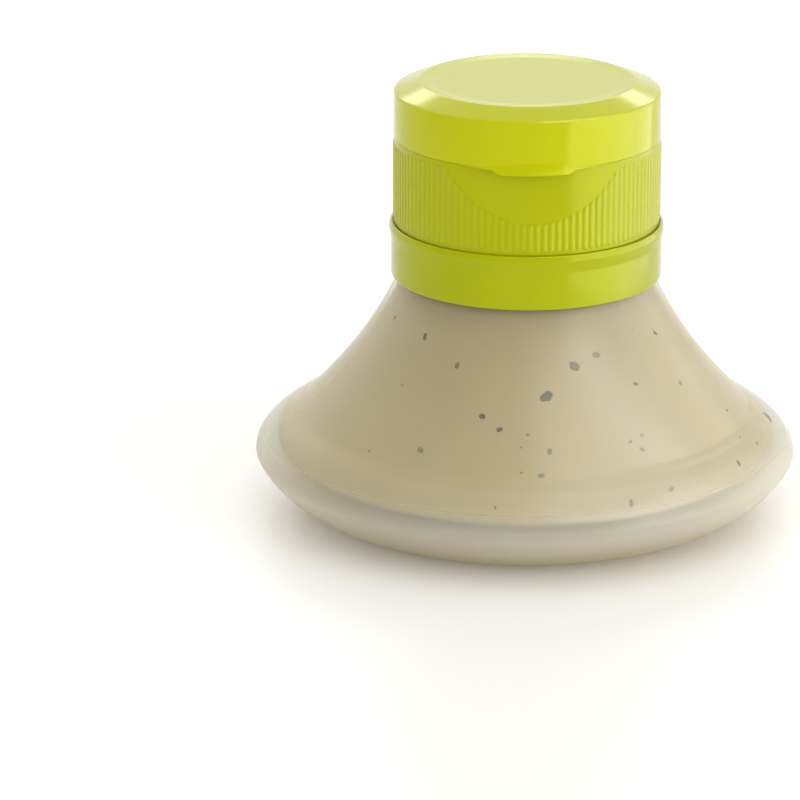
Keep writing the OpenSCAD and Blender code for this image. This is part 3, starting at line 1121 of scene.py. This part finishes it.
@dataclass
class FlipLid:
    """Bevelled lid with its thumb tab, knuckle, plug and seal skirt."""

    levels: Levels
    hinge: Hinge
    cap: ScrewCap
    side_h: float = 7.0
    bevel_w: float = 3.8
    wall: float = 1.65
    top_t: float = 1.6
    dish: float = 0.15
    tab_out: float = 0.7
    tab_drop: float = 0.95
    tab_rise: float = 0.95
    tab_half_w: float = 11.4
    lip_half_w: float = 5.0
    lip_step_w: float = 1.3
    lip_round: float = 0.22
    side_drop: float = 0.42
    end_rise: float = 0.4
    tab_swell: float = 1.35
    plug_reach: float = 1.4
    plug_wall: float = 0.9
    steps: int = 256

    def shell(self) -> Shape:
        """Return the lid's shell."""
        z, top, r = self.levels.lid_z, self.levels.top_z, self.levels.lid_r
        bore, under, disc = r - self.wall, top - self.top_t, r - self.bevel_w
        return turned(rounded([
            (0, top - self.dish, 0), (disc - 2.2, top - self.dish, 1.5), (disc - 0.5, top, 0.4),
            (disc, top - 0.02, 0.5), (r - 0.45, z + self.side_h + 0.05, 0.3),
            (r - 0.06, z + self.side_h - 0.15, 0.35), (r, z, 0.12), (bore, z, 0.12),
            (bore, under - 1, 0.8), (bore - 1, under, 0.8), (0, under, 0),
        ], 6), self.steps)

    def tab_drop_at(self, x: float) -> float:
        """How far the tab hangs below the lid at a distance from its middle."""
        step = clamped((abs(x) - self.lip_half_w) / self.lip_step_w)
        step = step * step * (3 - 2 * step)
        ends = max(0.0, (abs(x) - self.lip_half_w) / (self.tab_half_w - self.lip_half_w))
        return self.tab_drop + (self.side_drop * (1 - self.end_rise * ends) - self.tab_drop) * step

    def tab(self) -> Shape:
        """Return the thumb tab, a subdivided block bent into a flare with a deeper lip in its middle."""
        z, cap_r = self.levels.lid_z, self.levels.cap_r
        tip = cap_r + self.tab_out
        chord = math.sqrt(cap_r**2 - self.tab_half_w**2)
        back = (tip**2 - cap_r**2) / (2 * (tip - chord))
        low_r, high_r = tip - back, self.levels.lid_r - 0.03 - back
        shape = bmesh.new()
        bmesh.ops.create_cube(shape, size=2)
        across = [e for e in shape.edges if abs(e.verts[0].co.x - e.verts[1].co.x) > 1]
        bmesh.ops.subdivide_edges(shape, edges=across, cuts=95, use_grid_fill=True)
        upright = [e for e in shape.edges if abs(e.verts[0].co.z - e.verts[1].co.z) > 1]
        bmesh.ops.subdivide_edges(shape, edges=upright, cuts=15, use_grid_fill=True)
        for vert in shape.verts:
            outside, rise = vert.co.y < 0, (vert.co.z + 1) / 2
            x = vert.co.x * (self.tab_half_w - 0.1)
            drop = self.tab_drop_at(x)
            height = z - drop + rise * (drop + self.tab_rise)
            # The flare swells smoothly out of the lid's side and its lip is rounded under
            flare = 1 - clamped((height - z + self.tab_drop) / (self.tab_drop + self.tab_rise))
            flare_r = high_r + (low_r - high_r) * flare**self.tab_swell
            under = max(0.0, self.lip_round - (height - z + drop)) / self.lip_round
            flare_r -= self.lip_round * (1 - math.sqrt(max(0.0, 1 - under * under)))
            outer_y = -back - math.sqrt(flare_r**2 - x**2)
            turn = math.atan2(x, -outer_y)
            inner_r = self.cap.recess_at(turn, min(height, z)) + self.hinge.gap
            inner_y = max(-math.sqrt(inner_r**2 - x**2), outer_y + 0.02)
            vert.co = Vector((x, outer_y if outside else inner_y, height)) * MM
        bmesh.ops.recalc_face_normals(shape, faces=shape.faces)
        return shape

    def plug(self) -> Shape:
        """Return the plug and the seal skirt round the nozzle."""
        z, under = self.levels.lid_z, self.levels.top_z - self.top_t
        cap, gap = self.cap, self.hinge.gap
        tip = z + cap.nozzle_h - self.plug_reach
        r = cap.orifice_r - gap - 0.05
        inner = cap.orifice_r + cap.nozzle_wall + gap + 0.1
        sunk = under + 0.3
        foot = z + cap.nozzle_h - 1
        plug = turned(rounded([
            (0, tip, 0), (r - 0.35, tip, 0.3), (r, tip + 0.6, 0.3), (r, sunk, 0), (0, sunk, 0),
        ]), 64)
        skirt = turned(rounded([
            (inner, sunk, 0), (inner, foot, 0.2), (inner + self.plug_wall, foot, 0.2),
            (inner + self.plug_wall, sunk, 0),
        ]), 96, True)
        return joined([plug, skirt])

    def knuckle(self) -> Shape:
        """Return the centre knuckle with its web."""
        h, z = self.hinge, self.levels
        half = h.centre_half
        return joined([
            rod(h.knuckle_r, -half, half, z.hinge_y, z.lid_z, h.edge),
            h.web(-half + 0.01, half - 0.01, 1, z.lid_r - self.wall + 0.5),
        ])

    def build(self, shop: Workshop) -> None:
        """Make the shell, tab, plug and knuckle."""
        h, z = self.hinge, self.levels
        common = (Finish.LID, "lid", "lime_lid", ["flip_lid"])
        shell = shop.piece("lid_shell", self.shell(), *common)
        reach = z.pin_half + h.gap
        shop.cut(shell, [h.room(-reach, -h.centre_half), h.room(h.centre_half, reach)], Finish.LID, 32)
        shop.piece("thumb_tab", self.tab(), *common)
        shop.piece("nozzle_plug", self.plug(), *common)
        shop.piece("lid_knuckle", self.knuckle(), *common)


class Glow(Enum):
    """What a soft box does: light the piece, show in its gloss, or both."""

    SOFT = "soft"
    GLINT = "glint"
    BOTH = "both"


@dataclass(frozen=True)
class SoftBox:
    """One soft box: metres, and brightness as a multiple of white."""

    name: str
    place: Corner
    size: Point
    brightness: float
    glow: Glow
    aim: Corner = (0.0, 0.0, 0.035)
    spread_deg: float = 180.0


@dataclass
class Studio:
    """Pale floor, soft lamps and the camera of the photograph."""

    view_turn_deg: float = -3.0
    distance: float = 646.8
    height: float = 230.6
    pitch_deg: float = 18.35
    yaw_deg: float = 1.677
    focal_px: float = 4488.0
    picture_px: float = 800.0
    sensor: float = 36.0
    floor_half: float = 3.0
    floor_colour: str = "#F8FAFF"
    floor_roughness: float = 0.35
    floor_lift: Point = (0.05, 0.05)
    backdrop_tilt: float = 0.8
    backdrop_span: Point = (-0.2, 1.0)
    backdrop_light: Point = (0.2, 1.3)
    room_light: float = 0.82
    room_tint: str = "#FFFAEE"
    boxes: Sequence[SoftBox] = (
        SoftBox(
            "right_card", (0.0926, -0.062, 0.075), (0.1305, 0.15), 2.6, Glow.GLINT, (-0.0028, -0.0326, 0.075)
        ),
        SoftBox("side_card", (0.1273, 0.0506, 0.075), (0.105, 0.15), 1.7, Glow.GLINT, (0.0319, 0.08, 0.075)),
        SoftBox("overhead_box", (0.57, -0.25, 0.9), (1.0, 1.4), 3.2, Glow.GLINT, (0.57, -0.25, 0.0)),
        SoftBox("back_strip", (0.0, 1.0, 0.62), (1.1, 0.22), 3.4, Glow.BOTH),
        SoftBox("key_box", (0.95, -0.75, 0.32), (0.6, 0.6), 3.3, Glow.SOFT),
        SoftBox("fill_box", (-0.5, -1.0, 0.4), (0.7, 0.7), 1.8, Glow.SOFT),
        SoftBox("top_box", (0.0, -0.1, 1.2), (0.8, 0.8), 0.6, Glow.SOFT),
        SoftBox("low_box", (0.42, -0.12, 0.07), (0.3, 0.12), 2.2, Glow.SOFT, (0.03, -0.01, 0.01)),
        SoftBox(
            "rim_strip", (0.155, -0.1, 0.01), (0.18, 0.018), 0.6, Glow.SOFT, (0.022, -0.018, 0.009), 24.0
        ),
    )

    def camera(self) -> None:
        """Make the camera."""
        data = bpy.data.cameras.new("camera")
        data.sensor_width = self.sensor
        data.lens = self.focal_px * self.sensor / self.picture_px
        data.clip_end = 20
        camera = placed("camera", data)
        place = Matrix.Rotation(math.radians(self.view_turn_deg), 4, "Z")
        place = place @ Matrix.Translation((0, -self.distance * MM, self.height * MM))
        place = place @ Matrix.Rotation(math.radians(self.yaw_deg), 4, "Z")
        place = place @ Matrix.Rotation(math.radians(90 - self.pitch_deg), 4, "X")
        camera.matrix_world = place
        bpy.context.scene.camera = camera

    def first_look(self, tree: Tree) -> tuple[Socket, Socket]:
        """Add nodes that tell rays that the camera sends, straight or through glass, from the rest.

        Args:
            tree: the node tree that gets them.

        Returns:
            A socket that is 1 on straight rays, and one that is 1 on rays that came through glass.
        """
        rays = add_node(tree, "ShaderNodeLightPath").outputs
        early = arithmetic(tree, "LESS_THAN", rays["Diffuse Depth"], 0.5)
        return rays["Is Camera Ray"], arithmetic(tree, "MULTIPLY", rays["Is Transmission Ray"], early)

    def floor(self) -> None:
        """Make the floor, white to the camera, slightly glossy and with the bottle's shadow on it."""
        shape = bmesh.new()
        bmesh.ops.create_grid(shape, x_segments=1, y_segments=1, size=self.floor_half)
        mesh = meshed("floor", shape)
        material, tree, output = new_tree("white acrylic floor")
        colour = to_linear(self.floor_colour)
        paint = principled(tree, {"Base Color": colour, "Roughness": self.floor_roughness, "IOR": 1.3})
        lift = add_node(tree, "ShaderNodeEmission", None, {"Color": to_linear(WHITE), "Strength": 1.0})
        camera, through = self.first_look(tree)
        share = arithmetic(tree, "MULTIPLY", camera, self.floor_lift[0])
        share = arithmetic(tree, "MULTIPLY_ADD", through, self.floor_lift[1], share)
        inputs = {0: share, 1: paint, 2: lift.outputs["Emission"]}
        both = add_node(tree, "ShaderNodeMixShader", None, inputs)
        tree.links.new(both.outputs["Shader"], output.inputs["Surface"])
        mesh.materials.append(material)
        placed("floor", mesh)

    def world(self) -> None:
        """Light the room softly, with a white backdrop behind the bottle that shows in its gloss."""
        world = bpy.data.worlds.new("studio")
        bpy.context.scene.world = world
        world.use_nodes = True
        tree = world.node_tree
        tree.nodes.clear()
        glossy = add_node(tree, "ShaderNodeLightPath").outputs["Is Glossy Ray"]
        place = add_node(tree, "ShaderNodeTexCoord").outputs["Generated"]
        ways = add_node(tree, "ShaderNodeSeparateXYZ", None, {"Vector": place}).outputs
        height = arithmetic(tree, "MULTIPLY_ADD", ways["Z"], self.backdrop_tilt, ways["Y"])
        backdrop = ranged(tree, height, *self.backdrop_light, self.backdrop_span)
        lit = between(tree, glossy, self.room_light, backdrop)
        # The camera sees plain white, and only the light on matt surfaces is tinted
        seen = arithmetic(tree, "MAXIMUM", *self.first_look(tree))
        plain = arithmetic(tree, "MAXIMUM", seen, glossy)
        inputs = {
            "Color": tinted(tree, plain, self.room_tint, WHITE), "Strength": between(tree, seen, lit, 1.0),
        }
        sky = add_node(tree, "ShaderNodeBackground", None, inputs)
        output = add_node(tree, "ShaderNodeOutputWorld")
        tree.links.new(sky.outputs["Background"], output.inputs["Surface"])

    def lamp(self, box: SoftBox) -> None:
        """Hang one soft box in the room.

        Args:
            box: its place, size and brightness.
        """
        data = bpy.data.lights.new(box.name, "AREA")
        data.shape = "RECTANGLE"
        data.size, data.size_y = box.size
        # A lamp of this power is as bright as a white surface in full light, times its brightness
        data.energy = box.brightness * math.pi * box.size[0] * box.size[1]
        data.spread = math.radians(box.spread_deg)
        lamp = placed(box.name, data)
        lamp.location = box.place
        lamp.rotation_euler = (Vector(box.aim) - Vector(box.place)).to_track_quat("-Z", "Y").to_euler()
        lamp.visible_camera = False
        lamp.visible_transmission = False
        lamp.visible_glossy = box.glow is not Glow.SOFT
        lamp.visible_diffuse = box.glow is not Glow.GLINT

    def build(self) -> None:
        """Make the whole studio."""
        self.camera()
        self.floor()
        self.world()
        for box in self.boxes:
            self.lamp(box)
        bpy.context.scene.view_settings.view_transform = "Standard"


def main() -> None:
    """Build the pieces in order, then the studio."""
    logging.basicConfig(level=logging.INFO, format="%(name)s: %(message)s")
    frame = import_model()
    levels = Levels.from_frame()
    profile = BottleProfile(levels)
    hinge = Hinge(levels)
    cap = ScrewCap(levels, hinge)
    studio = Studio()
    shop = Workshop()

    SoftBody(levels, profile).build(shop)
    for kind in SPECK_KINDS:
        Flecks(kind, profile, studio.view_turn_deg).build(shop)
    Collar(levels).build(shop)
    cap.build(shop)
    FlipLid(levels, hinge, cap).build(shop)
    shop.dress_node(frame, "neck_insert", Finish.NECK)
    shop.dress_node(frame, "cap_seal", Finish.SEAL)
    shop.dress_node(frame, "hinge_pin", Finish.STEEL)
    studio.build()


if __name__ == "__main__":
    main()
